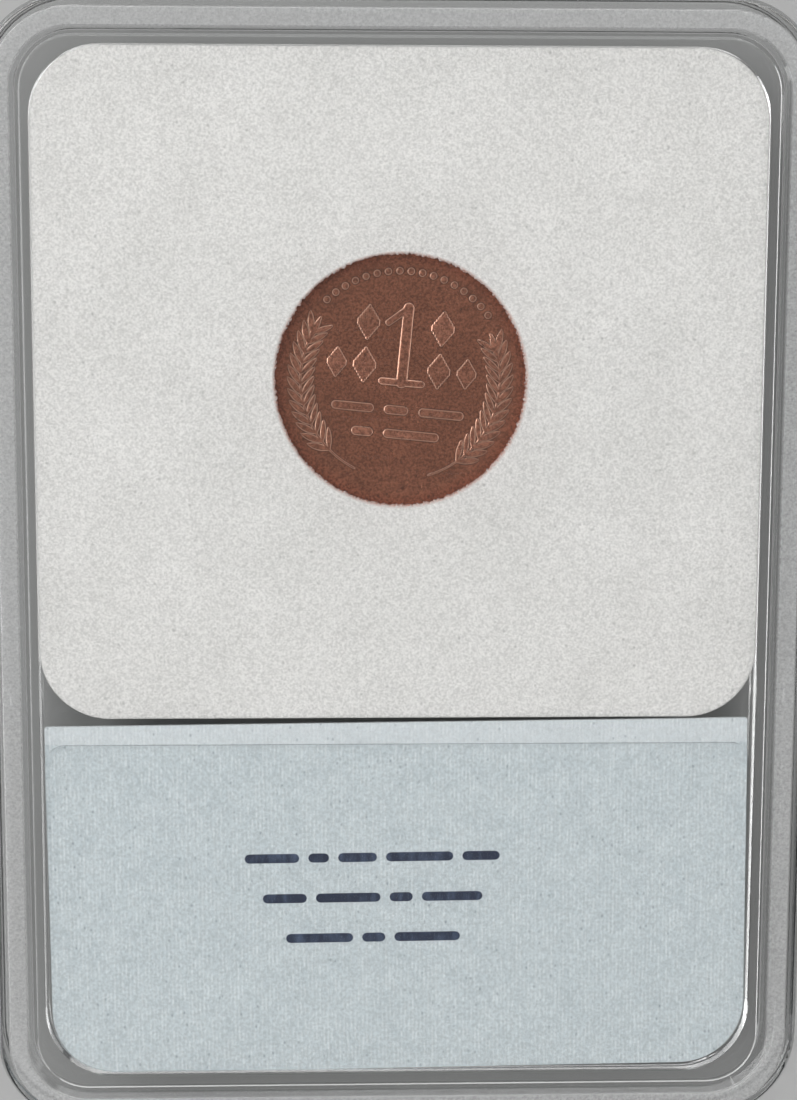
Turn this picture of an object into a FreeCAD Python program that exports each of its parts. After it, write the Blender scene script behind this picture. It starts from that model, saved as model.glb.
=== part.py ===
"""Graded coin slab: a clear two-part holder that seals a coin in foam above a label card.

The holder lies on its front window, with its back up. X runs across it, Y runs from the label end
to the coin end, and Z points up through the back. The origin is under the middle of the holder, on
the surface that it rests on. All sizes are in millimetres and angles in degrees.
"""

import FreeCAD, Part
import math
import os

import Sketcher

DIMENSIONS = {
    # The two shells together.
    "case_width": 62.0,
    "case_length": 86.0,
    "case_thickness": 8.0,
    "case_radius": 7.0,
    "edge_round": 0.35,
    "seam_gap": 0.02,
    "seam_bevel": 0.15,
    # Windows and stacking rims. The back rim of one holder nests inside the front rim of the next.
    "rim_height": 1.0,
    "window_thickness": 1.5,
    "front_rim_width": 0.85,
    "front_rim_round": 0.15,
    "back_rim_inset": 1.0,
    "back_rim_width": 1.4,
    "back_rim_slope": 0.75,
    "back_rim_round": 0.25,
    # Chamber between the windows.
    "wall_thickness": 3.6,
    "chamber_radius": 5.4,
    # Weld joint: a tongue on the back shell and a groove in the front shell.
    "groove_inset": 1.35,
    "groove_width": 1.0,
    "groove_depth": 0.8,
    "weld_clearance": 0.1,
    # Foam insert and the hole that grips the coin's edge.
    "foam_length": 50.3,
    "foam_side_gap": 0.1,
    "foam_top_gap": 0.05,
    "foam_radius": 5.3,
    "foam_lip": 0.12,
    "coin_fit": 0.05,
    # Coin.
    "coin_radius": 9.525,
    "coin_thickness": 1.52,
    "coin_rim_width": 0.6,
    "coin_field_depth": 0.12,
    "coin_bevel": 0.1,
    "coin_height_y": 14.8,
    "coin_turn": -5.5,
    # Label card, which lies nearer the back window, and the pads inside both shells that pinch it.
    "card_width": 53.9,
    "card_length": 27.6,
    "card_thickness": 0.3,
    "card_middle_y": -25.2,
    "card_lift": 1.0,
    "card_end_radius": 5.0,
    "card_square_radius": 0.2,
    "card_turn": 0.55,
    "card_play": 0.04,
    "pad_side_gap": 0.35,
    "pad_start_y": -13.05,
    "pad_start_radius": 1.5,
}

# Heights that several pieces share, as expressions on the sheet.
PARTING_HEIGHT = "sheet.case_thickness / 2"
WINDOW_DEPTH = "(sheet.rim_height + sheet.window_thickness)"
CHAMBER_HALF_DEPTH = f"({PARTING_HEIGHT} - {WINDOW_DEPTH})"
CARD_HALF_THICKNESS = "sheet.card_thickness / 2"
FRONT_PAD_HEIGHT = f"{CHAMBER_HALF_DEPTH} + sheet.card_lift - {CARD_HALF_THICKNESS}"
BACK_PAD_HEIGHT = f"{CHAMBER_HALF_DEPTH} - sheet.card_lift - {CARD_HALF_THICKNESS} - sheet.card_play"
SEAT_TOP = f"({CHAMBER_HALF_DEPTH} + sheet.coin_thickness / 2 + sheet.coin_fit)"
CHAMBER_TOP_Y = "(sheet.case_length / 2 - sheet.wall_thickness)"
TOUCHING = 1e-4

document = FreeCAD.newDocument("coin_slab")


def make_sheet():
    """The spreadsheet of driving dimensions."""
    sheet = document.addObject("Spreadsheet::Sheet", "sheet")
    for row, (alias, size) in enumerate(DIMENSIONS.items(), start=1):
        cell = f"A{row}"
        sheet.set(cell, str(size))
        sheet.setAlias(cell, alias)
    return sheet


def evaluate(expression):
    """The number that an expression on the sheet has now."""
    return float(document.sheet.evalExpression(expression))


def inset_outline(inset):
    """The holder's outline moved inwards: width, length and the radii at its label and coin ends."""
    radius = f"sheet.case_radius - ({inset})"
    return (
        f"sheet.case_width - 2 * ({inset})",
        f"sheet.case_length - 2 * ({inset})",
        radius,
        radius,
    )


def chamber_outline():
    """The outline of the hollow between the two windows."""
    width, length, _, _ = inset_outline("sheet.wall_thickness")
    return width, length, "sheet.chamber_radius", "sheet.chamber_radius"


def pad_outline():
    """The outline of a label pad, which has small corners at the foam and large ones at the end."""
    width = "sheet.case_width - 2 * (sheet.wall_thickness + sheet.pad_side_gap)"
    length = f"sheet.pad_start_y + {CHAMBER_TOP_Y} - sheet.pad_side_gap"
    return width, length, "sheet.chamber_radius - sheet.pad_side_gap", "sheet.pad_start_radius"


def new_body(name):
    """An empty body whose label is its node name."""
    body = document.addObject("PartDesign::Body", name)
    body.Label = name
    return body


def new_sketch(body, name, height="0", middle_y="0"):
    """A sketch parallel to the body's XY plane, at a height and a distance along Y."""
    plane = next(f for f in body.Origin.OriginFeatures if f.Role == "XY_Plane")
    sketch = body.newObject("Sketcher::SketchObject", name)
    sketch.AttachmentSupport = [(plane, "")]
    sketch.MapMode = "FlatFace"
    sketch.setExpression("AttachmentOffset.Base.y", middle_y)
    sketch.setExpression("AttachmentOffset.Base.z", height)
    return sketch


def bind(sketch, name, kind, places, expression):
    """Adds a named dimension to a sketch and binds it to the sheet."""
    index = sketch.addConstraint(Sketcher.Constraint(kind, *places, evaluate(expression)))
    sketch.renameConstraint(index, name)
    sketch.setExpression(f"Constraints.{name}", expression)


def draw_outline(sketch, outline):
    """Draws a rectangle with rounded corners, centred on the sketch's origin."""
    width, length, low_radius, high_radius = outline
    half_width = evaluate(width) / 2
    half_length = evaluate(length) / 2
    low, high = evaluate(low_radius), evaluate(high_radius)
    corners = ((1, -1, low), (1, 1, high), (-1, 1, high), (-1, -1, low))
    first = sketch.GeometryCount
    arcs = []
    for quarter, (side, end, radius) in enumerate(corners):
        centre = FreeCAD.Vector(side * (half_width - radius), end * (half_length - radius), 0)
        circle = Part.Circle(centre, FreeCAD.Vector(0, 0, 1), radius)
        start = math.pi / 2 * (quarter - 1)
        arcs.append(Part.ArcOfCircle(circle, start, start + math.pi / 2))
    lines = [Part.LineSegment(arcs[i].EndPoint, arcs[(i + 1) % 4].StartPoint) for i in range(4)]
    sketch.addGeometry(arcs + lines, False)
    arc_ids = [first + i for i in range(4)]
    right, top, left, bottom = (first + 4 + i for i in range(4))
    for quarter, line in enumerate((right, top, left, bottom)):
        next_arc = arc_ids[(quarter + 1) % 4]
        sketch.addConstraint(Sketcher.Constraint("Tangent", arc_ids[quarter], 2, line, 1))
        sketch.addConstraint(Sketcher.Constraint("Tangent", line, 2, next_arc, 1))
    for line in (right, left):
        sketch.addConstraint(Sketcher.Constraint("Vertical", line))
    for line in (top, bottom):
        sketch.addConstraint(Sketcher.Constraint("Horizontal", line))
    sketch.addConstraint(Sketcher.Constraint("Equal", arc_ids[0], arc_ids[3]))
    sketch.addConstraint(Sketcher.Constraint("Equal", arc_ids[1], arc_ids[2]))
    bind(sketch, f"right_{first}", "DistanceX", (-1, 1, right, 1), f"({width}) / 2")
    bind(sketch, f"left_{first}", "DistanceX", (left, 1, -1, 1), f"({width}) / 2")
    bind(sketch, f"top_{first}", "DistanceY", (-1, 1, top, 1), f"({length}) / 2")
    bind(sketch, f"bottom_{first}", "DistanceY", (bottom, 1, -1, 1), f"({length}) / 2")
    bind(sketch, f"low_radius_{first}", "Radius", (arc_ids[0],), low_radius)
    bind(sketch, f"high_radius_{first}", "Radius", (arc_ids[1],), high_radius)


def draw_circle(sketch, radius):
    """Draws a circle round the sketch's origin."""
    circle = Part.Circle(FreeCAD.Vector(), FreeCAD.Vector(0, 0, 1), evaluate(radius))
    index = sketch.addGeometry(circle, False)
    sketch.addConstraint(Sketcher.Constraint("Coincident", index, 3, -1, 1))
    bind(sketch, "circle_radius", "Radius", (index,), radius)


def pad(body, sketch, name, height, downwards=False):
    """Makes a sketch into material. Raises an error if the body gains none."""
    before = body.Shape.Volume if body.Tip else 0.0
    feature = body.newObject("PartDesign::Pad", name)
    feature.Profile = sketch
    feature.Reversed = downwards
    feature.setExpression("Length", height)
    document.recompute()
    if feature.Shape.Volume <= before + TOUCHING:
        raise RuntimeError(f"{name} adds no material")
    return feature


def pocket(body, sketch, name, depth, upwards=False):
    """Cuts a sketch into the body. Raises an error if the body loses nothing."""
    before = body.Shape.Volume
    feature = body.newObject("PartDesign::Pocket", name)
    feature.Profile = sketch
    feature.Reversed = upwards
    feature.setExpression("Length", depth)
    document.recompute()
    if feature.Shape.Volume >= before - TOUCHING:
        raise RuntimeError(f"{name} cuts nothing")
    return feature


def distance_to_outline(point, outline):
    """How far a point lies outside an outline, seen from above."""
    width, length, radius, _ = (evaluate(size) for size in outline)
    over_x = abs(point.x) - width / 2 + radius
    over_y = abs(point.y) - length / 2 + radius
    outside = math.hypot(max(over_x, 0), max(over_y, 0))
    return outside + min(max(over_x, over_y), 0) - radius


def edges_along(body, outline, height):
    """Names of the body's edges that follow an outline at one height of the body's own frame."""
    level = evaluate(height)
    names = []
    for number, edge in enumerate(body.Tip.Shape.Edges, start=1):
        middle = edge.valueAt((edge.FirstParameter + edge.LastParameter) / 2)
        points = [middle] + [vertex.Point for vertex in edge.Vertexes]
        flat = all(abs(point.z - level) < TOUCHING for point in points)
        if flat and all(abs(distance_to_outline(point, outline)) < TOUCHING for point in points):
            names.append(f"Edge{number}")
    if not names:
        raise RuntimeError("no edge follows this outline")
    return names


def dress_edges(body, kind, name, outline, height, size):
    """A Fillet or Chamfer along one outline of a body."""
    names = edges_along(body, outline, height)
    base = body.Tip
    feature = body.newObject(f"PartDesign::{kind}", name)
    feature.Base = (base, names)
    feature.setExpression("Radius" if kind == "Fillet" else "Size", size)
    document.recompute()
    return feature


def outline_pad(body, name, outline, height, level="0", middle_y="0"):
    """A pad of one rounded outline that starts at a level."""
    sketch = new_sketch(body, f"{name}_sketch", level, middle_y)
    draw_outline(sketch, outline)
    return pad(body, sketch, name, height)


def outline_pocket(body, name, outline, depth, level="0", upwards=False):
    """A pocket of one rounded outline, cut down from a level or up from it."""
    sketch = new_sketch(body, f"{name}_sketch", level)
    draw_outline(sketch, outline)
    return pocket(body, sketch, name, depth, upwards)


def ring_sketch(body, name, outer_inset, width, level):
    """A sketch of a band of even width that follows the holder's outline."""
    sketch = new_sketch(body, name, level)
    draw_outline(sketch, inset_outline(outer_inset))
    draw_outline(sketch, inset_outline(f"{outer_inset} + {width}"))
    return sketch


def label_pad(body, name, height, level):
    """The raised island inside a window that presses on the label card."""
    middle_y = f"(sheet.pad_start_y - {CHAMBER_TOP_Y} + sheet.pad_side_gap) / 2"
    return outline_pad(body, name, pad_outline(), height, level, middle_y)


def make_front_shell():
    """Lower shell: front window inside the outermost stacking rim, weld groove on the parting face."""
    body = new_body("front_shell")
    top = f"({PARTING_HEIGHT} - sheet.seam_gap / 2)"
    whole = inset_outline("0")
    rim_inside = inset_outline("sheet.front_rim_width")
    outline_pad(body, "front_block", whole, top)
    outline_pocket(body, "front_window_recess", rim_inside, "sheet.rim_height", upwards=True)
    outline_pocket(body, "front_chamber", chamber_outline(), f"{top} - {WINDOW_DEPTH}", top)
    groove = ring_sketch(body, "weld_groove_sketch", "sheet.groove_inset", "sheet.groove_width", top)
    pocket(body, groove, "weld_groove", "sheet.groove_depth")
    dress_edges(body, "Fillet", "front_outer_round", whole, "0", "sheet.edge_round")
    dress_edges(body, "Fillet", "front_rim_round", rim_inside, "0", "sheet.front_rim_round")
    dress_edges(body, "Chamfer", "front_seam_bevel", whole, top, "sheet.seam_bevel")
    label_pad(body, "front_label_pad", FRONT_PAD_HEIGHT, WINDOW_DEPTH)
    return body


def make_back_shell():
    """Upper shell: back window inside the inset stacking rim, weld tongue on the parting face."""
    body = new_body("back_shell")
    body.setExpression("Placement.Base.z", f"{PARTING_HEIGHT} + sheet.seam_gap / 2")
    height = f"({PARTING_HEIGHT} - sheet.seam_gap / 2)"
    shoulder = f"({height} - sheet.rim_height)"
    chamber_depth = f"({height} - {WINDOW_DEPTH})"
    whole = inset_outline("0")
    rim_outside = inset_outline("sheet.back_rim_inset")
    recess_inset = "sheet.back_rim_inset + sheet.back_rim_width + sheet.back_rim_slope"
    recess = inset_outline(recess_inset)
    tongue_inset = "sheet.groove_inset + sheet.weld_clearance"
    tongue_width = "sheet.groove_width - 2 * sheet.weld_clearance"
    outline_pad(body, "back_block", whole, shoulder)
    outline_pad(body, "back_rim", rim_outside, "sheet.rim_height", shoulder)
    outline_pocket(body, "back_window_recess", recess, "sheet.rim_height", height)
    outline_pocket(body, "back_chamber", chamber_outline(), chamber_depth, upwards=True)
    dress_edges(body, "Chamfer", "back_rim_slope", recess, height, "sheet.back_rim_slope")
    dress_edges(body, "Fillet", "back_rim_round", rim_outside, height, "sheet.back_rim_round")
    dress_edges(body, "Fillet", "shoulder_round", whole, shoulder, "sheet.edge_round")
    dress_edges(body, "Chamfer", "back_seam_bevel", whole, "0", "sheet.seam_bevel")
    tongue = ring_sketch(body, "weld_tongue_sketch", tongue_inset, tongue_width, "0")
    pad(body, tongue, "weld_tongue", "sheet.groove_depth - sheet.weld_clearance", downwards=True)
    label_pad(body, "back_label_pad", BACK_PAD_HEIGHT, f"{chamber_depth} - ({BACK_PAD_HEIGHT})")
    return body


def make_foam_insert():
    """Foam sheet with a round hole. A shallow groove half-way down holds the coin's edge."""
    body = new_body("foam_insert")
    thickness = f"(2 * {CHAMBER_HALF_DEPTH} - sheet.foam_top_gap)"
    end_gap = f"({CHAMBER_TOP_Y} - sheet.foam_side_gap)"
    body.setExpression("Placement.Base.y", f"{end_gap} - sheet.foam_length / 2")
    body.setExpression("Placement.Base.z", WINDOW_DEPTH)
    width = "sheet.case_width - 2 * (sheet.wall_thickness + sheet.foam_side_gap)"
    outline = (width, "sheet.foam_length", "sheet.foam_radius", "sheet.foam_radius")
    outline_pad(body, "foam_sheet", outline, thickness)
    hole_y = f"sheet.coin_height_y - {end_gap} + sheet.foam_length / 2"
    hole = new_sketch(body, "coin_hole_sketch", thickness, hole_y)
    draw_circle(hole, "sheet.coin_radius - sheet.foam_lip")
    pocket(body, hole, "coin_hole", thickness)
    seat = new_sketch(body, "coin_seat_sketch", SEAT_TOP, hole_y)
    draw_circle(seat, "sheet.coin_radius + sheet.coin_fit")
    pocket(body, seat, "coin_seat", "sheet.coin_thickness + 2 * sheet.coin_fit")
    return body


def make_coin():
    """Plain disc with a raised rim on both faces, half-way between the windows."""
    body = new_body("coin")
    body.setExpression("Placement.Base.y", "sheet.coin_height_y")
    body.setExpression("Placement.Base.z", f"{PARTING_HEIGHT} - sheet.coin_thickness / 2")
    body.setExpression("Placement.Rotation.Angle", "sheet.coin_turn")
    blank = new_sketch(body, "coin_blank_sketch")
    draw_circle(blank, "sheet.coin_radius")
    pad(body, blank, "coin_blank", "sheet.coin_thickness")
    for side, level, upwards in (("front", "0", True), ("back", "sheet.coin_thickness", False)):
        field = new_sketch(body, f"coin_{side}_field_sketch", level)
        draw_circle(field, "sheet.coin_radius - sheet.coin_rim_width")
        pocket(body, field, f"coin_{side}_field", "sheet.coin_field_depth", upwards)
    edge = ("2 * sheet.coin_radius", "2 * sheet.coin_radius", "sheet.coin_radius", "sheet.coin_radius")
    for side, level in (("front", "0"), ("back", "sheet.coin_thickness")):
        dress_edges(body, "Chamfer", f"coin_{side}_bevel", edge, level, "sheet.coin_bevel")
    return body


def make_label_card():
    """Printed card with square corners at the foam and round ones at the end, lying a little askew."""
    body = new_body("label_card")
    body.setExpression("Placement.Base.y", "sheet.card_middle_y")
    body.setExpression("Placement.Base.z", f"{PARTING_HEIGHT} + sheet.card_lift - {CARD_HALF_THICKNESS}")
    body.setExpression("Placement.Rotation.Angle", "sheet.card_turn")
    outline = (
        "sheet.card_width",
        "sheet.card_length",
        "sheet.card_end_radius",
        "sheet.card_square_radius",
    )
    outline_pad(body, "card_sheet", outline, "sheet.card_thickness")
    return body


def check_and_write(bodies):
    """Stops on any failed object or broken solid, then writes one STEP file for each sub-part."""
    document.recompute()
    for item in document.Objects:
        if "Invalid" in item.State or "Error" in item.State:
            raise RuntimeError(f"{item.Name} failed: {item.State}")
    os.makedirs("parts", exist_ok=True)
    for body in bodies:
        if body.Shape.isNull() or not body.Shape.isValid() or not body.Shape.Solids:
            raise RuntimeError(f"{body.Label} has no valid solid")
    for body in bodies:
        body.Shape.exportStep(f"parts/{body.Label}.step")
        box = body.Shape.optimalBoundingBox(False)
        size = f"{box.XLength:.2f} x {box.YLength:.2f} x {box.ZLength:.2f} mm"
        print(f"{body.Label}: {size}, {body.Shape.Volume:.1f} mm3")


make_sheet()
document.recompute()
check_and_write(
    [
        make_front_shell(),
        make_back_shell(),
        make_foam_insert(),
        make_coin(),
        make_label_card(),
    ]
)
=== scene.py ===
"""Looks of the graded coin slab: clear shells, cut foam, a struck coin and a ribbed label card.

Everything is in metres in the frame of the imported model. The slab lies on its front window with its
back up, X across it and Y from the label end to the coin end.
"""

import math

import bpy
import numpy as np
from mathutils import Matrix, Vector


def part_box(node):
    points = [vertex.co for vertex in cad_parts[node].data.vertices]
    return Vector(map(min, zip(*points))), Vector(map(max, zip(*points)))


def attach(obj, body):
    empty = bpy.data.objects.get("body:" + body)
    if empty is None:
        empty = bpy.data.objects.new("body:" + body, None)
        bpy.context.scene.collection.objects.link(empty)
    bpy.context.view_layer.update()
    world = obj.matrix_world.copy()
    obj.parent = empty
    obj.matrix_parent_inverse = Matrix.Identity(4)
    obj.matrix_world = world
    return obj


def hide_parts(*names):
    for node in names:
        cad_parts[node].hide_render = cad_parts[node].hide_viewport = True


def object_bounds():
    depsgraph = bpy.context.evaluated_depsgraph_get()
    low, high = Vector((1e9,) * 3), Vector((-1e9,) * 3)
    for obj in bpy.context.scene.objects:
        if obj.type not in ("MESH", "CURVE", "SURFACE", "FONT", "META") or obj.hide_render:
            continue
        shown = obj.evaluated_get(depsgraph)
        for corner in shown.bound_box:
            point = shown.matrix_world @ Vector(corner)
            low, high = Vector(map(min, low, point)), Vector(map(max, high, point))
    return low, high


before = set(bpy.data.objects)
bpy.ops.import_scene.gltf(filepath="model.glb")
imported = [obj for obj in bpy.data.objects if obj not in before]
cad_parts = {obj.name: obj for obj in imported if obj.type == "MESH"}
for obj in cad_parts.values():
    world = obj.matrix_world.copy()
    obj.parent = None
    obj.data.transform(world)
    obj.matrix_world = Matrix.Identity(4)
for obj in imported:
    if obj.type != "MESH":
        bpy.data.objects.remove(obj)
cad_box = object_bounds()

MM = 0.001

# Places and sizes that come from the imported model.
COIN_LOW, COIN_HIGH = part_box("coin")
COIN_CENTRE = (COIN_LOW + COIN_HIGH) / 2
COIN_RADIUS = (COIN_HIGH.x - COIN_LOW.x) / 2
COIN_HALF_THICKNESS = (COIN_HIGH.z - COIN_LOW.z) / 2
FOAM_LOW, FOAM_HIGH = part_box("foam_insert")
FOAM_CENTRE = (FOAM_LOW + FOAM_HIGH) / 2
FOAM_HALF = (FOAM_HIGH - FOAM_LOW) / 2
CARD_LOW, CARD_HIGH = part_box("label_card")
CARD_CENTRE = (CARD_LOW + CARD_HIGH) / 2
SLAB_LOW_FACE = cad_box[0][2]
SLAB_HIGH_FACE = cad_box[1][2]

# Foam insert.
FOAM_CORNER = 5.3 * MM
FOAM_EDGE_ROUND = 0.2 * MM
FOAM_LIP = 0.12 * MM
FOAM_TOOTH = 0.11 * MM
FOAM_UNEVENNESS = 0.02 * MM
FOAM_WAVINESS = 3 * MM
COIN_FIT = 0.05 * MM
SEAT_STEP = 0.02 * MM
FOAM_STEPS_ROUND = 1440
FOAM_STEPS_ACROSS = 44
FOAM_EDGE_STEPS = 5

# Coin. Its rim is as high as the solid's, and its relief stays below the rim.
COIN_TURN = math.radians(-5.5)
COIN_RIM = 0.6 * MM
COIN_BEVEL = 0.1 * MM
COIN_FIELD_DEPTH = 0.12 * MM
COIN_STEPS_ROUND = 720
COIN_STEPS_ACROSS = 160
COIN_EDGE_STEPS = 4
COIN_PIN_RADIUS = 0.03 * MM
COIN_DISH = 0.03 * MM
COIN_RIM_SLOPE = 1.15 * MM
COIN_RIM_OVERLAP = 0.15 * MM
COIN_GRAIN = 0.0016 * MM
RELIEF = 0.08 * MM
LOW_RELIEF = 0.07 * MM
RELIEF_FLANK = 0.24 * MM
RELIEF_WEAR = 0.15
RIM_WEAR = 0.07

# Label card and its print. The shells' pads press the card from PAD_EDGE to the label end.
CARD_TURN = math.radians(0.55)
PAD_EDGE = -13.05 * MM
RIB_PITCH = 0.3 * MM
INK_THICKNESS = 0.012 * MM
PRINT_ROW_PITCH = 3.2 * MM
PRINT_OFFSET = -2.0 * MM
PRINT_GAP = 0.7 * MM

# Clear plastic: how often a ray may bounce inside it.
PLASTIC_BOUNCES = 4

# Camera, almost overhead, with the coin end a little nearer to it than the label end.
CAMERA_TARGET = Vector((-0.13, 2.0, 6.0)) * MM
CAMERA_DISTANCE = 173.3 * MM
CAMERA_LENS = 75.0
CAMERA_LEAN_Y = math.radians(8.5)
CAMERA_LEAN_X = math.radians(-2.1)
CAMERA_ROLL = math.radians(0.2)

# Studio. Each light has a name, a place, a length, a depth and an energy in watts.
FLOOR_HALF_SIZE = 3.0
FLOOR_GAP = 0.02 * MM
SURROUND_COLOUR = (0.98, 0.99, 1.0, 1)
SURROUND_STRENGTH = 0.15
LIGHTS = (
    ("key_light", (-0.52, 0.12, 0.48), 0.85, 0.24, 2.45),
    ("coin_end_light", (0.0, 0.6, 0.45), 0.8, 0.22, 1.5),
    ("fill_light", (0.58, 0.0, 0.45), 0.8, 0.24, 0.95),
    ("label_end_light", (0.0, -0.62, 0.45), 0.8, 0.22, 0.65),
)


# ---------------------------------------------------------------- mesh helpers


def link_mesh(name, vertices, faces, smooth=True):
    """A new object from plain vertex and face lists."""
    mesh = bpy.data.meshes.new(name)
    mesh.from_pydata([tuple(v) for v in vertices], [], [tuple(f) for f in faces])
    mesh.validate()
    if smooth:
        mesh.shade_smooth()
    else:
        mesh.shade_flat()
    piece = bpy.data.objects.new(name, mesh)
    bpy.context.scene.collection.objects.link(piece)
    return piece


def loop_faces(loops, count, closed=False):
    """Quads between neighbouring loops of count points each."""
    here = np.arange(count)
    after = (here + 1) % count
    faces = []
    for i in range(loops if closed else loops - 1):
        this = i * count
        following = ((i + 1) % loops) * count
        faces.append(np.column_stack([this + here, this + after, following + after, following + here]))
    return np.concatenate(faces)


def waves(x, y, size, seed, octaves=3):
    """Smooth noise between about -1 and 1: crossed sine waves about size metres long."""
    crossed = 5
    usual_peak = 2.2
    random = np.random.default_rng(seed)
    total = np.zeros_like(x)
    weight = 0.0
    for octave in range(octaves):
        for _ in range(crossed):
            heading, phase = random.uniform(0, 2 * math.pi, 2)
            length = size / 2**octave * random.uniform(0.7, 1.4)
            along = x * math.cos(heading) + y * math.sin(heading)
            total += np.sin(along * 2 * math.pi / length + phase) / 2**octave
        weight += usual_peak / 2**octave
    return total / weight


def smooth_step(value, low, high):
    """Rises gently from 0 at low to 1 at high."""
    share = np.clip((value - low) / (high - low), 0, 1)
    return share * share * (3 - 2 * share)


# ---------------------------------------------------------------- foam insert


def inside_foam(x, y, inset):
    """Whether points lie within the foam's rounded outline, drawn in by inset."""
    corner = FOAM_CORNER - inset
    over_x = np.abs(x - FOAM_CENTRE.x) - FOAM_HALF.x + inset + corner
    over_y = np.abs(y - FOAM_CENTRE.y) - FOAM_HALF.y + inset + corner
    outside = np.hypot(np.maximum(over_x, 0), np.maximum(over_y, 0))
    return outside + np.minimum(np.maximum(over_x, over_y), 0) < corner


def foam_outline(angles, inset):
    """The foam's outline as seen from the coin's centre: its distance at each angle, by halving."""
    halvings = 40
    near = np.zeros_like(angles)
    far = np.full_like(angles, 2 * FOAM_HALF.length)
    for _ in range(halvings):
        middle = (near + far) / 2
        x = COIN_CENTRE.x + middle * np.cos(angles)
        y = COIN_CENTRE.y + middle * np.sin(angles)
        inside = inside_foam(x, y, inset)
        near = np.where(inside, middle, near)
        far = np.where(inside, far, middle)
    return near


def ragged_lip(count, seed):
    """Radii of the die-cut hole's torn edge: fine teeth on a circle just smaller than the coin."""
    random = np.random.default_rng(seed)
    kernel = np.hanning(8)
    teeth = np.convolve(np.tile(random.uniform(-1, 1, count), 3), kernel / kernel.sum(), "same")
    teeth = teeth[count : 2 * count]
    teeth /= np.abs(teeth).max()
    return COIN_RADIUS - FOAM_LIP + FOAM_TOOTH * teeth


def quarter_turn(steps):
    """Sideways and upward shares of an edge rounded in a few steps, from its wall to its face."""
    return [(1 - math.cos(angle), math.sin(angle)) for angle in np.linspace(0, math.pi / 2, steps)]


def foam_loops(angles):
    """Radii about the coin's centre, and height, of each loop of the foam sheet.

    The loops run through the hole, over the upper face, down the outer wall and back underneath.
    """
    upper_lip = ragged_lip(FOAM_STEPS_ROUND, 11)
    lower_lip = ragged_lip(FOAM_STEPS_ROUND, 12)
    seat = np.full_like(angles, COIN_RADIUS + COIN_FIT)
    low, high = FOAM_LOW.z, FOAM_HIGH.z
    seat_low = COIN_LOW.z - COIN_FIT
    seat_high = COIN_HIGH.z + COIN_FIT
    rounding = quarter_turn(FOAM_EDGE_STEPS)
    face_shares = np.linspace(0, 1, FOAM_STEPS_ACROSS)[1:] ** 1.5

    loops = [
        (lower_lip, seat_low),
        (seat, seat_low + SEAT_STEP),
        (seat, seat_high - SEAT_STEP),
        (upper_lip, seat_high),
    ]
    for out, up in rounding:
        loops.append((upper_lip + out * FOAM_EDGE_ROUND, high - FOAM_EDGE_ROUND * (1 - up)))
    inner = upper_lip + FOAM_EDGE_ROUND
    outer = foam_outline(angles, FOAM_EDGE_ROUND)
    for share in face_shares:
        loops.append((inner + (outer - inner) * share, high))
    for out, up in rounding[-2::-1]:
        loops.append((foam_outline(angles, out * FOAM_EDGE_ROUND), high - FOAM_EDGE_ROUND * (1 - up)))
    for out, up in rounding:
        loops.append((foam_outline(angles, out * FOAM_EDGE_ROUND), low + FOAM_EDGE_ROUND * (1 - up)))
    inner = lower_lip + FOAM_EDGE_ROUND
    for share in face_shares[-2::-3]:
        loops.append((inner + (outer - inner) * share, low))
    for out, up in rounding[::-1]:
        loops.append((lower_lip + out * FOAM_EDGE_ROUND, low + FOAM_EDGE_ROUND * (1 - up)))
    return loops


def make_foam():
    """Foam sheet with rounded edges, a faintly uneven face and a ragged round hole."""
    angles = np.linspace(0, 2 * math.pi, FOAM_STEPS_ROUND, endpoint=False)
    loops = foam_loops(angles)
    vertices = []
    for radii, height in loops:
        x = COIN_CENTRE.x + radii * np.cos(angles)
        y = COIN_CENTRE.y + radii * np.sin(angles)
        level = np.full_like(x, height)
        if height > FOAM_HIGH.z - FOAM_EDGE_ROUND / 2:
            level -= FOAM_UNEVENNESS * (1 + waves(x, y, FOAM_WAVINESS, 5))
        vertices.append(np.column_stack([x, y, level]))
    faces = loop_faces(len(loops), FOAM_STEPS_ROUND, closed=True)
    return link_mesh("foam_pad", np.concatenate(vertices), faces)


# ---------------------------------------------------------------- coin


def stroke(start, end, half_width, height=RELIEF, leaf=False):
    """A raised ridge from start to end. A leaf is widest half-way along."""
    return (*start, *end, half_width, height, leaf)


def bead(place, half_width, height=RELIEF):
    """One round pearl."""
    return stroke(place, place, half_width, height)


def polar(radius, degrees, side=1):
    """A point on the coin's face, by its distance from the centre and its bearing.

    A side of -1 mirrors it to the left.
    """
    angle = math.radians(degrees)
    return side * radius * math.cos(angle), radius * math.sin(angle)


def spray(side):
    """A plain leafy branch that follows the rim, on the left (-1) or right (1) of the face."""
    stem_radius = 7.5 * MM
    bends = [polar(stem_radius, bearing, side) for bearing in np.linspace(-68, 18, 25)]
    marks = [stroke(start, end, 0.12 * MM, LOW_RELIEF) for start, end in zip(bends, bends[1:])]
    for bearing in range(-50, 23, 6):
        foot = polar(stem_radius, bearing, side)
        outer_tip = polar(8.5 * MM, bearing + 10, side)
        inner_tip = polar(6.5 * MM, bearing + 11, side)
        marks.append(stroke(foot, outer_tip, 0.34 * MM, LOW_RELIEF, leaf=True))
        marks.append(stroke(foot, inner_tip, 0.3 * MM, LOW_RELIEF, leaf=True))
    top_foot = polar(stem_radius, 17, side)
    top_tip = polar(7.6 * MM, 33, side)
    marks.append(stroke(top_foot, top_tip, 0.32 * MM, LOW_RELIEF, leaf=True))
    return marks


def lozenge(x, y, half_width, half_height):
    """A solid diamond, filled by a fan of upright ridges."""
    ridges = []
    for share in np.linspace(-0.85, 0.85, 11):
        reach = half_height * (1 - abs(share))
        place = x + share * half_width
        ridges.append(stroke((place, y - reach), (place, y + reach), 0.2 * MM))
    return ridges


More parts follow.
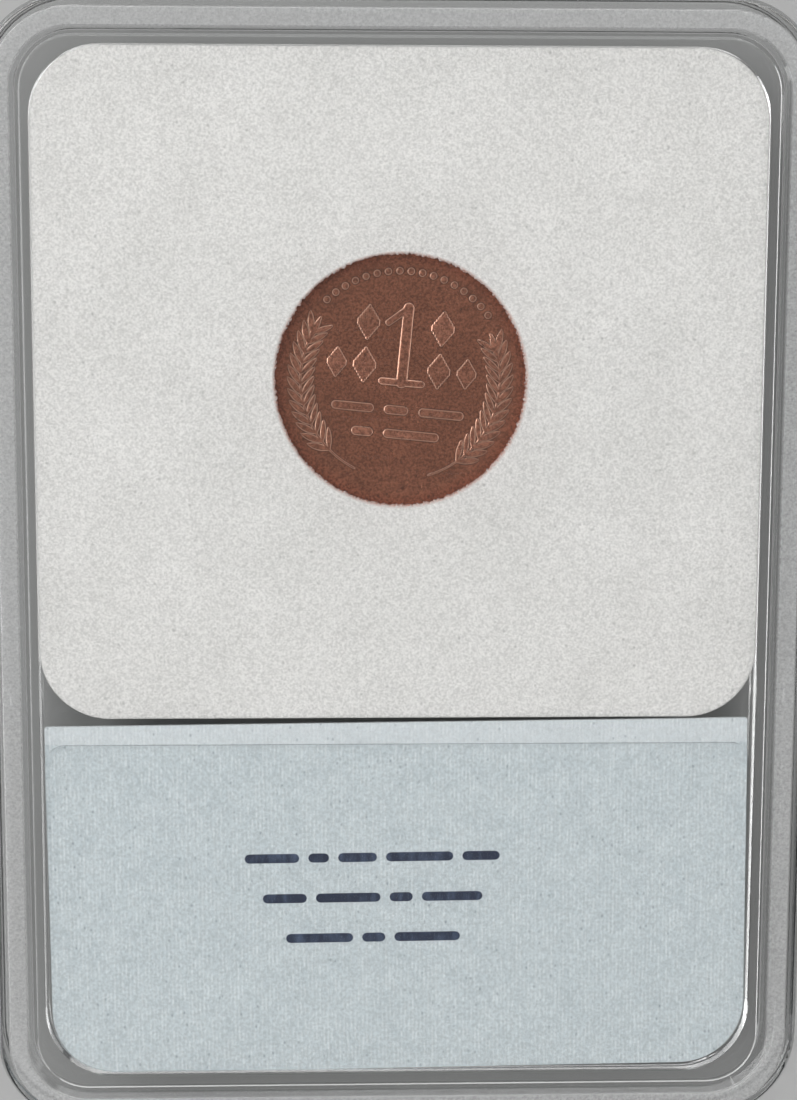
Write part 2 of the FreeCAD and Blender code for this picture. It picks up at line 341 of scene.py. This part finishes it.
def numeral_one(x, foot, top, half_width):
    """The coin's only figure, a plain 1 with a flag and a foot."""
    return [
        stroke((x, foot), (x, top), half_width),
        stroke((x, top), (x - 1.4 * MM, top - 1.2 * MM), half_width * 0.7),
        stroke((x - 1.5 * MM, foot), (x + 1.5 * MM, foot), half_width * 0.7),
    ]


def raised_dashes(y, lengths, half_width):
    """A centred row of raised dashes. It stands for a line of small words."""
    gap = 0.6 * MM
    left = -(sum(lengths) + gap * (len(lengths) - 1)) / 2
    dashes = []
    for length in lengths:
        start = (left + half_width, y)
        end = (left + length - half_width, y)
        dashes.append(stroke(start, end, half_width, LOW_RELIEF))
        left += length + gap
    return dashes


def reverse_relief():
    """The face that shows: an arc of beads, a 1 among diamonds, two rows of dashes, two sprays."""
    marks = [bead(polar(8.15 * MM, bearing), 0.36 * MM, LOW_RELIEF) for bearing in range(42, 139, 6)]
    marks += numeral_one(0.1 * MM, -0.2 * MM, 5.4 * MM, 0.48 * MM)
    for side in (-1, 1):
        marks += lozenge(side * 2.8 * MM, 4.1 * MM, 0.85 * MM, 1.2 * MM)
        marks += lozenge(side * 2.8 * MM, 0.9 * MM, 0.85 * MM, 1.2 * MM)
        marks += lozenge(side * 4.9 * MM, 0.9 * MM, 0.7 * MM, 1.0 * MM)
    marks += raised_dashes(-2.3 * MM, [3.4 * MM, 2.0 * MM, 3.6 * MM], 0.42 * MM)
    marks += raised_dashes(-4.1 * MM, [1.8 * MM, 4.4 * MM], 0.42 * MM)
    return marks + spray(-1) + spray(1)


def obverse_relief():
    """The hidden face: a plain star in a ring of beads, with no head."""
    points = [polar((3.9 if i % 2 == 0 else 1.6) * MM, 90 + 36 * i) for i in range(10)]
    star = [stroke(points[i], points[(i + 1) % 10], 0.26 * MM) for i in range(10)]
    ribs = [stroke((0, 0), points[i], 0.2 * MM, LOW_RELIEF) for i in range(0, 10, 2)]
    beads = [bead(polar(7.6 * MM, bearing), 0.42 * MM) for bearing in range(0, 360, 10)]
    return star + ribs + beads


def raise_strokes(x, y, strokes):
    """The height of the relief at each point: the highest ridge there, flat-topped with soft flanks."""
    height = np.zeros_like(x)
    for ax, ay, bx, by, half_width, tall, leaf in strokes:
        dx, dy = bx - ax, by - ay
        reach = half_width + math.hypot(dx, dy) / 2
        near = np.hypot(x - (ax + bx) / 2, y - (ay + by) / 2) < reach
        px, py = x[near] - ax, y[near] - ay
        share = np.clip((px * dx + py * dy) / max(dx * dx + dy * dy, 1e-18), 0, 1)
        away = np.hypot(px - share * dx, py - share * dy)
        width = half_width * np.ones_like(share)
        if leaf:
            width *= np.sqrt(np.clip(4 * share * (1 - share), 0.02, 1))
        ridge = smooth_step(width - away, 0, np.minimum(RELIEF_FLANK, width))
        height[near] = np.maximum(height[near], tall * ridge)
    return height


def worn(wear, x, y, size, seed):
    """The share of its height that is left at each point. It varies softly by about twice the wear."""
    return 1 - wear + wear * waves(x, y, size, seed)


def coin_face(radii, angles, strokes, seed):
    """Points of one face: x, y, height above the field, and the share of the full relief there."""
    r, a = np.meshgrid(radii, angles, indexing="ij")
    x, y = r * np.cos(a), r * np.sin(a)
    relief = raise_strokes(x, y, strokes) * worn(RELIEF_WEAR, x, y, 6 * MM, seed)
    rim_start = COIN_RADIUS - COIN_RIM + COIN_RIM_OVERLAP
    rim_share = smooth_step(r, rim_start - COIN_RIM_SLOPE, rim_start)
    rim = COIN_FIELD_DEPTH * worn(RIM_WEAR, x, y, 9 * MM, seed + 1) * rim_share
    dish = COIN_DISH * (r / COIN_RADIUS) ** 3
    grain = COIN_GRAIN * waves(x, y, 0.7 * MM, seed + 2)
    lift = np.maximum(relief + dish, rim) + grain
    return x, y, np.clip(lift, 0, COIN_FIELD_DEPTH), relief / RELIEF


def make_coin():
    """Struck coin: both faces in relief, a rounded rim and a plain edge."""
    angles = np.linspace(0, 2 * math.pi, COIN_STEPS_ROUND, endpoint=False)
    flat_radius = COIN_RADIUS - COIN_BEVEL
    field = COIN_HALF_THICKNESS - COIN_FIELD_DEPTH
    radii = np.linspace(COIN_PIN_RADIUS, flat_radius, COIN_STEPS_ACROSS)
    x, y, lift, share = coin_face(radii, angles, reverse_relief(), 21)
    rings = [np.stack([x, y, field + lift], axis=-1)]
    shares = [share]

    edge = []
    for out, up in quarter_turn(COIN_EDGE_STEPS)[-2::-1]:
        edge.append((COIN_RADIUS - out * COIN_BEVEL, COIN_HALF_THICKNESS - COIN_BEVEL * (1 - up)))
    for radius, height in edge + [(radius, -height) for radius, height in edge[::-1]]:
        level = np.full_like(angles, height)
        rings.append(np.stack([radius * np.cos(angles), radius * np.sin(angles), level], axis=-1)[None])
        shares.append(np.zeros((1, COIN_STEPS_ROUND)))

    x, y, lift, share = coin_face(radii[::-2], angles, obverse_relief(), 31)
    rings.append(np.stack([x, y, -field - lift], axis=-1))
    shares.append(share)
    points = np.concatenate(rings)

    # A tiny flat closes each face in its middle.
    loops = len(points)
    faces = loop_faces(loops, COIN_STEPS_ROUND)[:, ::-1].tolist()
    last = (loops - 1) * COIN_STEPS_ROUND
    faces.append(list(range(COIN_STEPS_ROUND)))
    faces.append(list(range(last, last + COIN_STEPS_ROUND))[::-1])
    place = Matrix.Translation(COIN_CENTRE) @ Matrix.Rotation(COIN_TURN, 4, "Z")
    turned = points.reshape(-1, 3) @ np.array(place.to_3x3()).T + np.array(place.translation)
    coin = link_mesh("struck_coin", turned, faces)
    relief = coin.data.attributes.new("relief", "FLOAT", "POINT")
    relief.data.foreach_set("value", np.concatenate(shares).reshape(-1).astype(np.float32))
    return coin


# ---------------------------------------------------------------- label print


def rounded_bar(x, y, length, width, low, high, turn=0.0):
    """Vertices and faces of one flat bar with round ends, lying along X before it is turned."""
    half = (length - width) / 2
    outline = []
    for end in (1, -1):
        for step in range(7):
            angle = math.radians(30 * step - 90 * end)
            outline.append((end * half + width / 2 * math.cos(angle), width / 2 * math.sin(angle)))
    cos, sin = math.cos(turn), math.sin(turn)
    flat = [(x + px * cos - py * sin, y + px * sin + py * cos) for px, py in outline]
    count = len(flat)
    vertices = [(px, py, low) for px, py in flat] + [(px, py, high) for px, py in flat]
    faces = [list(range(count))[::-1], list(range(count, 2 * count))]
    faces += [[i, (i + 1) % count, count + (i + 1) % count, count + i] for i in range(count)]
    return vertices, faces


def make_print(name, bars, low, high):
    """One piece of ink from a list of bars, placed on the card and turned with it."""
    vertices, faces = [], []
    cos, sin = math.cos(CARD_TURN), math.sin(CARD_TURN)
    for x, y, length, width, turn in bars:
        place_x = CARD_CENTRE.x + x * cos - y * sin
        place_y = CARD_CENTRE.y + x * sin + y * cos
        new_vertices, new_faces = rounded_bar(place_x, place_y, length, width, low, high, turn + CARD_TURN)
        faces += [[index + len(vertices) for index in face] for face in new_faces]
        vertices += new_vertices
    return link_mesh(name, vertices, faces, smooth=False)


def printed_dashes(middle, y, lengths, width):
    """A row of printed dashes about a middle, which stands for a line of words."""
    left = middle - (sum(lengths) + PRINT_GAP * (len(lengths) - 1)) / 2
    bars = []
    for length in lengths:
        bars.append((left + length / 2, y, length, width, 0.0))
        left += length + PRINT_GAP
    return bars


def back_print_bars():
    """Three centred rows of plain dashes where the card carries its printed words."""
    rows = (
        (PRINT_ROW_PITCH, (4.2, 1.6, 3.0, 5.2, 2.9)),
        (0.0, (3.4, 5.0, 1.8, 4.7)),
        (-PRINT_ROW_PITCH, (5.2, 1.8, 5.1)),
    )
    bars = []
    for y, lengths in rows:
        bars += printed_dashes(PRINT_OFFSET, y, [length * MM for length in lengths], 0.72 * MM)
    return bars


def front_print_bars():
    """The hidden face: two rows of dashes and a block of upright stripes."""
    bars = printed_dashes(0.0, 7.0 * MM, [6 * MM, 9 * MM, 4 * MM], 0.8 * MM)
    bars += printed_dashes(0.0, 3.4 * MM, [4 * MM, 7 * MM, 5 * MM, 6 * MM], 0.6 * MM)
    stripes = 34
    stripe_pitch = 0.72 * MM
    stripe_length = 7 * MM
    widths = (0.22 * MM, 0.38 * MM, 0.28 * MM)
    for i in range(stripes):
        x = (i - (stripes - 1) / 2) * stripe_pitch
        bars.append((x, -5.2 * MM, stripe_length, widths[(i * 5) % 3], math.pi / 2))
    return bars


# ---------------------------------------------------------------- materials


class Shader:
    """A node tree with short calls for the nodes that the materials need."""

    def __init__(self, name):
        self.material = bpy.data.materials.new(name)
        self.material.use_nodes = True
        self.tree = self.material.node_tree
        self.tree.nodes.clear()
        self.output = self.node("OutputMaterial")
        coordinates = self.node("TexCoord")
        self.place = coordinates.outputs["Object"]
        self.surface_normal = coordinates.outputs["Normal"]

    def node(self, kind, **settings):
        """A new node of a kind, named without its ShaderNode prefix."""
        made = self.tree.nodes.new("ShaderNode" + kind)
        for key, value in settings.items():
            setattr(made, key, value)
        return made

    def feed(self, socket, value):
        """Links an output to a socket, or sets the socket's own number or colour."""
        if isinstance(value, bpy.types.NodeSocket):
            self.tree.links.new(value, socket)
        else:
            socket.default_value = value

    def maths(self, operation, *values):
        """One arithmetic step on numbers or sockets."""
        made = self.node("Math", operation=operation)
        for socket, value in zip(made.inputs, values):
            self.feed(socket, value)
        return made.outputs[0]

    def noise(self, scale, detail=3.0, roughness=0.5, vector=None):
        """Cloudy noise between 0 and 1, with scale features to a metre."""
        made = self.node("TexNoise")
        self.feed(made.inputs["Vector"], vector or self.place)
        self.feed(made.inputs["Scale"], scale)
        self.feed(made.inputs["Detail"], detail)
        self.feed(made.inputs["Roughness"], roughness)
        return made.outputs["Fac"]

    def cells(self, scale, vector=None):
        """Distance to the nearest of scattered points, in cell widths."""
        made = self.node("TexVoronoi", feature="F1")
        self.feed(made.inputs["Vector"], vector or self.place)
        self.feed(made.inputs["Scale"], scale)
        return made.outputs["Distance"]

    def stretched(self, scale, turn=0.0):
        """The object's own coordinates, turned about Z and scaled."""
        made = self.node("Mapping")
        self.feed(made.inputs["Vector"], self.place)
        self.feed(made.inputs["Scale"], scale)
        self.feed(made.inputs["Rotation"], (0, 0, turn))
        return made.outputs["Vector"]

    def axis(self, name, vector=None):
        """One coordinate, X, Y or Z."""
        made = self.node("SeparateXYZ")
        self.feed(made.inputs[0], vector or self.place)
        return made.outputs[name]

    def distance_from_axis(self, centre):
        """Distance from the upright line through centre."""
        made = self.node("VectorMath", operation="DISTANCE")
        self.feed(made.inputs[0], self.stretched((1, 1, 0)))
        self.feed(made.inputs[1], (centre.x, centre.y, 0))
        return made.outputs["Value"]

    def ramp(self, value, low, high, out_low=0.0, out_high=1.0):
        """Maps low to out_low and high to out_high, and holds there beyond them."""
        made = self.node("MapRange")
        self.feed(made.inputs["Value"], value)
        self.feed(made.inputs["From Min"], low)
        self.feed(made.inputs["From Max"], high)
        self.feed(made.inputs["To Min"], out_low)
        self.feed(made.inputs["To Max"], out_high)
        return made.outputs["Result"]

    def blend(self, share, first, second, kind="MIX"):
        """A colour between two others, or their product when kind is MULTIPLY."""
        made = self.node("Mix", data_type="RGBA", blend_type=kind)
        colour_inputs = [socket for socket in made.inputs if socket.type == "RGBA"]
        self.feed(made.inputs[0], share)
        self.feed(colour_inputs[0], first)
        self.feed(colour_inputs[1], second)
        return next(socket for socket in made.outputs if socket.type == "RGBA")

    def bump(self, height, distance, strength=1.0):
        """A surface direction tilted by a height texture."""
        made = self.node("Bump")
        self.feed(made.inputs["Height"], height)
        self.feed(made.inputs["Distance"], distance)
        self.feed(made.inputs["Strength"], strength)
        return made.outputs["Normal"]

    def principled(self, **values):
        """The surface shader; a socket's name is written with underscores."""
        made = self.node("BsdfPrincipled")
        for key, value in values.items():
            self.feed(made.inputs[key.replace("_", " ")], value)
        return made.outputs[0]

    def finish(self, shader):
        """Puts the shader on the surface and gives back the material."""
        self.feed(self.output.inputs["Surface"], shader)
        return self.material


def clear_plastic(name, offset):
    """Clear polystyrene: hairline scratches, a faint haze, and scuffs on the faces that rest or stack.

    Light passes straight through its level faces to whatever they cover. Its upright walls bend some
    of the light away, so they throw a faint shadow. A ray that goes on bouncing inside the plastic
    leaves it straight ahead, instead of ending there as a black spot.
    """
    dull_tint = (0.965, 0.97, 0.97, 1)
    clear_tint = (0.985, 0.988, 0.987, 1)
    light_through_faces = (0.95, 0.952, 0.95, 1)
    light_through_walls = (0.82, 0.82, 0.82, 1)
    rub_depth = 0.2 * MM
    s = Shader(name)
    hairlines = 0.0
    for turn in (0.4 + offset, 1.7 + offset, 2.6 + offset):
        line = s.ramp(s.noise(70.0, 2.0, 0.6, s.stretched((1.0, 26.0, 1.0), turn)), 0.66, 0.7)
        hairlines = s.maths("MAXIMUM", line, hairlines)
    scratches = s.maths("MULTIPLY", hairlines, s.ramp(s.noise(90.0, 4.0), 0.45, 0.75))
    back_rim = s.ramp(s.axis("Z"), SLAB_HIGH_FACE - rub_depth, SLAB_HIGH_FACE)
    front_rim = s.ramp(s.axis("Z"), SLAB_LOW_FACE, SLAB_LOW_FACE + rub_depth, 0.3, 0.0)
    rim_band = s.maths("MAXIMUM", back_rim, front_rim)
    scuffs = s.maths("MULTIPLY", rim_band, s.ramp(s.noise(5200.0, 4.0, 0.7), 0.3, 0.7, 0.45, 1.0))
    haze = s.ramp(s.noise(45.0, 5.0), 0.35, 0.75, 0.015, 0.05)
    worn = s.maths("MAXIMUM", scratches, scuffs)
    plastic = s.principled(
        Base_Color=s.blend(s.noise(25.0, 2.0), dull_tint, clear_tint),
        Roughness=s.maths("ADD", haze, s.maths("MULTIPLY", worn, 0.14)),
        IOR=1.57,
        Transmission_Weight=s.maths("SUBTRACT", 1.0, s.maths("MULTIPLY", scuffs, 0.55)),
        Normal=s.bump(worn, 0.004 * MM, 0.25),
    )
    upright = s.ramp(s.maths("ABSOLUTE", s.axis("Z", s.surface_normal)), 0.2, 0.7, 1.0, 0.0)
    open_air = s.node("BsdfTransparent")
    s.feed(open_air.inputs["Color"], s.blend(upright, light_through_faces, light_through_walls))
    path = s.node("LightPath")
    trapped = s.maths("GREATER_THAN", path.outputs["Ray Depth"], PLASTIC_BOUNCES + 0.5)
    mixed = s.node("MixShader")
    s.feed(mixed.inputs[0], s.maths("MAXIMUM", path.outputs["Is Shadow Ray"], trapped))
    s.feed(mixed.inputs[1], plastic)
    s.feed(mixed.inputs[2], open_air.outputs[0])
    return s.finish(mixed.outputs[0])


def white_foam():
    """Closed-cell foam: fine pale cells, scattered pits painted darker with shade, and a reddish tint
    round the hole.
    """
    shade = (0.726, 0.715, 0.698, 1)
    light = (0.783, 0.77, 0.754, 1)
    darker = (0.82, 0.82, 0.82, 1)
    brighter = (1.12, 1.12, 1.12, 1)
    painted_pit_shade = (0.26, 0.26, 0.26, 1)
    reddish_tint = (0.42, 0.2, 0.15, 1)
    s = Shader("white_foam")
    fine = s.cells(5600.0)
    grain = s.noise(5800.0, 2.0, 0.7)
    patches = s.ramp(s.noise(700.0, 1.0), 0.4, 0.56)
    pits = s.maths("MULTIPLY", s.ramp(s.cells(1300.0), 0.07, 0.2, 1.0, 0.0), patches)
    blotch = s.noise(150.0, 4.0, 0.6)
    base = s.blend(s.ramp(blotch, 0.3, 0.7), shade, light)
    speckle = s.blend(s.ramp(grain, 0.36, 0.64), darker, brighter)
    colour = s.blend(1.0, base, speckle, "MULTIPLY")
    # Painted shade: the pits are painted darker in their hollows.
    colour = s.blend(s.maths("MULTIPLY", pits, 0.36), colour, painted_pit_shade)
    # A reddish tint on the foam just round the hole's edge.
    from_coin = s.distance_from_axis(COIN_CENTRE)
    rim_band = s.ramp(from_coin, COIN_RADIUS - 0.1 * MM, COIN_RADIUS + 0.14 * MM, 1.0, 0.0)
    rim_band = s.maths("MULTIPLY", rim_band, s.ramp(grain, 0.36, 0.6, 0.1, 1.0))
    colour = s.blend(rim_band, colour, reddish_tint)
    height = s.maths("ADD", s.maths("MULTIPLY", fine, 0.5), grain)
    height = s.maths("SUBTRACT", height, s.maths("MULTIPLY", pits, 0.6))
    foam = s.principled(
        Base_Color=colour,
        Roughness=s.ramp(grain, 0.3, 0.7, 0.82, 0.95),
        Specular_IOR_Level=0.2,
        Normal=s.bump(height, 0.04 * MM, 0.7),
    )
    return s.finish(foam)


def brown_copper():
    """Old copper: brown fields, bright edges to the relief, dark grime and painted shade beside it, a
    redder rim, nicks.
    """
    field_shade = (0.29, 0.115, 0.067, 1)
    field_light = (0.455, 0.18, 0.106, 1)
    top_shade = (0.4, 0.165, 0.1, 1)
    top_light = (0.58, 0.25, 0.16, 1)
    grime_and_shade = (0.04, 0.016, 0.01, 1)
    red_rim = (0.5, 0.16, 0.09, 1)
    dark_grain = (0.12, 0.045, 0.028, 1)
    bare_edge = (0.88, 0.52, 0.38, 1)
    dark_spot = (0.04, 0.022, 0.015, 1)
    bright_nick = (0.95, 0.72, 0.6, 1)
    s = Shader("brown_copper")
    relief = s.node("Attribute", attribute_name="relief").outputs["Fac"]
    blotch = s.noise(330.0, 5.0, 0.6)
    grain = s.noise(5200.0, 3.0, 0.7)
    field = s.blend(s.ramp(blotch, 0.3, 0.7), field_shade, field_light)
    top = s.blend(s.ramp(blotch, 0.3, 0.7), top_shade, top_light)
    colour = s.blend(s.ramp(relief, 0.3, 0.75), field, top)
    # Dark grime and painted shade at the foot of each raised mark.
    foot = s.maths("MULTIPLY", s.ramp(relief, 0.01, 0.08), s.ramp(relief, 0.1, 0.3, 1.0, 0.0))
    colour = s.blend(s.maths("MULTIPLY", foot, 0.85), colour, grime_and_shade)
    outward = s.ramp(s.distance_from_axis(COIN_CENTRE), COIN_RADIUS - 1.1 * MM, COIN_RADIUS - 0.3 * MM)
    colour = s.blend(s.maths("MULTIPLY", outward, 0.6), colour, red_rim)
    colour = s.blend(s.ramp(grain, 0.4, 0.6, 0.0, 0.74), colour, dark_grain)
    edge = s.maths("MULTIPLY", s.ramp(relief, 0.12, 0.28), s.ramp(relief, 0.4, 0.58, 1.0, 0.0))
    colour = s.blend(s.maths("MULTIPLY", edge, 0.8), colour, bare_edge)
    spots = s.ramp(s.cells(900.0), 0.04, 0.14, 0.6, 0.0)
    colour = s.blend(spots, colour, dark_spot)
    nicks = s.ramp(s.cells(190.0), 0.012, 0.022, 0.9, 0.0)
    colour = s.blend(nicks, colour, bright_nick)
    height = s.maths("ADD", grain, s.maths("MULTIPLY", blotch, 0.6))
    copper = s.principled(
        Base_Color=colour,
        Metallic=s.ramp(edge, 0.0, 1.0, 0.5, 1.0),
        Roughness=s.ramp(blotch, 0.3, 0.7, 0.34, 0.25),
        Specular_IOR_Level=0.3,
        Normal=s.bump(height, 0.005 * MM, 0.7),
    )
    return s.finish(copper)


def along_card(shader, stretch):
    """The card's own coordinates. A stretch below 1 draws a texture out along the card's ribs."""
    return shader.stretched((1.0, stretch, 1.0), -CARD_TURN)


def ribbed_card():
    """Pale-blue laid card: fine broken ribs, small dark flecks, and painted light that makes the strip
    beyond the pads paler.
    """
    shade = (0.515, 0.573, 0.6, 1)
    light = (0.577, 0.631, 0.653, 1)
    rib_light = (0.745, 0.785, 0.795, 1)
    darker = (0.87, 0.87, 0.87, 1)
    brighter = (1.1, 1.1, 1.1, 1)
    painted_strip_light = (0.83, 0.85, 0.87, 1)
    fleck_grey = (0.2, 0.24, 0.28, 1)
    pad_blur = 0.06 * MM
    s = Shader("ribbed_card")
    wander = s.noise(260.0, 3.0, 0.6, along_card(s, 0.3))
    across = s.axis("X", along_card(s, 1.0))
    across = s.maths("MULTIPLY_ADD", wander, 1.1 * RIB_PITCH, across)
    wave = s.maths("SINE", s.maths("MULTIPLY", across, 2 * math.pi / RIB_PITCH))
    streaks = s.noise(3000.0, 2.0, 0.6, along_card(s, 0.5))
    ribs = s.maths("MULTIPLY", s.ramp(wave, -1.0, 1.0), s.ramp(streaks, 0.4, 0.62, 0.0, 1.0))
    mottle = s.noise(420.0, 4.0, 0.65)
    base = s.blend(s.ramp(mottle, 0.3, 0.7), shade, light)
    colour = s.blend(s.maths("MULTIPLY", ribs, 0.55), base, rib_light)
    fibres = s.noise(4400.0, 2.0, 0.65)
    speckle = s.blend(s.ramp(fibres, 0.35, 0.65), darker, brighter)
    colour = s.blend(1.0, colour, speckle, "MULTIPLY")
    # Painted light: the strip beyond the pads, where no pad lies over the card, is painted paler.
    unpadded_strip_light = s.ramp(s.axis("Y"), PAD_EDGE - pad_blur, PAD_EDGE + pad_blur, 0.0, 0.35)
    colour = s.blend(unpadded_strip_light, colour, painted_strip_light)
    flecks = s.ramp(s.cells(1500.0, along_card(s, 0.7)), 0.07, 0.18, 1.0, 0.0)
    flecks = s.maths("MULTIPLY", flecks, s.ramp(s.noise(900.0, 1.0), 0.38, 0.52))
    colour = s.blend(s.maths("MULTIPLY", flecks, 0.5), colour, fleck_grey)
    card = s.principled(
        Base_Color=colour,
        Roughness=s.ramp(mottle, 0.3, 0.7, 0.72, 0.88),
        Specular_IOR_Level=0.3,
        Normal=s.bump(s.maths("ADD", fibres, ribs), 0.02 * MM, 0.7),
    )
    return s.finish(card)


def navy_ink():
    """Dark-blue printing ink, thin in places where the card's ribs show through."""
    full_navy = (0.012, 0.02, 0.05, 1)
    thin_navy = (0.07, 0.1, 0.17, 1)
    s = Shader("navy_ink")
    thin = s.noise(1800.0, 3.0, 0.6, along_card(s, 0.3))
    ink = s.principled(
        Base_Color=s.blend(s.ramp(thin, 0.45, 0.8), full_navy, thin_navy),
        Roughness=s.ramp(thin, 0.3, 0.7, 0.5, 0.65),
    )
    return s.finish(ink)


def pale_floor():
    """Plain pale matte floor."""
    shade = (0.6, 0.6, 0.597, 1)
    light = (0.635, 0.635, 0.63, 1)
    s = Shader("pale_floor")
    tone = s.ramp(s.noise(6.0, 3.0), 0.3, 0.7)
    floor = s.principled(
        Base_Color=s.blend(tone, shade, light),
        Roughness=0.85,
        Specular_IOR_Level=0.2,
    )
    return s.finish(floor)


# ---------------------------------------------------------------- assembly


def paint(piece, material):
    """Gives a piece one material in every slot."""
    if not piece.material_slots:
        piece.data.materials.append(material)
    for slot in piece.material_slots:
        slot.material = material


def add_piece(piece, body, slot_name, material, *cad_nodes):
    """Paints a new piece, hangs it on its body and hides the parts it stands for."""
    paint(piece, material)
    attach(piece, body)
    if cad_nodes:
        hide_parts(*cad_nodes)


def add_light(name, place, length, depth, energy):
    """A long soft area light that faces the slab, lying level along its length."""
    data = bpy.data.lights.new(name, "AREA")
    data.shape = "RECTANGLE"
    data.size = length
    data.size_y = depth
    data.energy = energy
    lamp = bpy.data.objects.new(name, data)
    lamp.location = place
    lamp.rotation_euler = (CAMERA_TARGET - Vector(place)).to_track_quat("-Z", "Y").to_euler()
    bpy.context.scene.collection.objects.link(lamp)


def add_studio():
    """Floor, soft lights and an even grey surround."""
    half = FLOOR_HALF_SIZE
    corners = [(-half, -half), (half, -half), (half, half), (-half, half)]
    floor = link_mesh("floor", [(x, y, -FLOOR_GAP) for x, y in corners], [(0, 1, 2, 3)], smooth=False)
    paint(floor, pale_floor())
    for light in LIGHTS:
        add_light(*light)
    world = bpy.data.worlds.new("studio")
    world.use_nodes = True
    background = world.node_tree.nodes["Background"]
    background.inputs["Color"].default_value = SURROUND_COLOUR
    background.inputs["Strength"].default_value = SURROUND_STRENGTH
    bpy.context.scene.world = world
    bpy.context.scene.view_settings.view_transform = "Standard"


def add_camera():
    """Camera above the slab's back, with the coin end up in the picture."""
    data = bpy.data.cameras.new("camera")
    data.lens = CAMERA_LENS
    data.clip_start = 0.01
    data.clip_end = 10.0
    back = Vector((math.tan(CAMERA_LEAN_X), math.tan(CAMERA_LEAN_Y), 1.0)).normalized()
    right = Vector((0, 1, 0)).cross(back).normalized()
    up = back.cross(right)
    turned = Matrix((right, up, back)).transposed().to_4x4() @ Matrix.Rotation(CAMERA_ROLL, 4, "Z")
    camera = bpy.data.objects.new("camera", data)
    camera.matrix_world = Matrix.Translation(CAMERA_TARGET + back * CAMERA_DISTANCE) @ turned
    bpy.context.scene.collection.objects.link(camera)
    bpy.context.scene.camera = camera


def main():
    """Builds every piece, then the studio and the camera."""
    foam = make_foam()
    add_piece(foam, "holder", "foam_insert", white_foam(), "foam_insert")
    add_piece(make_coin(), "coin", "coin", brown_copper(), "coin")
    ink = navy_ink()
    top, bottom = CARD_HIGH.z, CARD_LOW.z
    back_print = make_print("back_print", back_print_bars(), top, top + INK_THICKNESS)
    add_piece(back_print, "holder", "label_card", ink)
    front_print = make_print("front_print", front_print_bars(), bottom - INK_THICKNESS, bottom)
    add_piece(front_print, "holder", "label_card", ink)
    paint(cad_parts["label_card"], ribbed_card())
    paint(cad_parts["front_shell"], clear_plastic("clear_front", 0.0))
    paint(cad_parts["back_shell"], clear_plastic("clear_back", 0.7))
    add_studio()
    add_camera()


main()
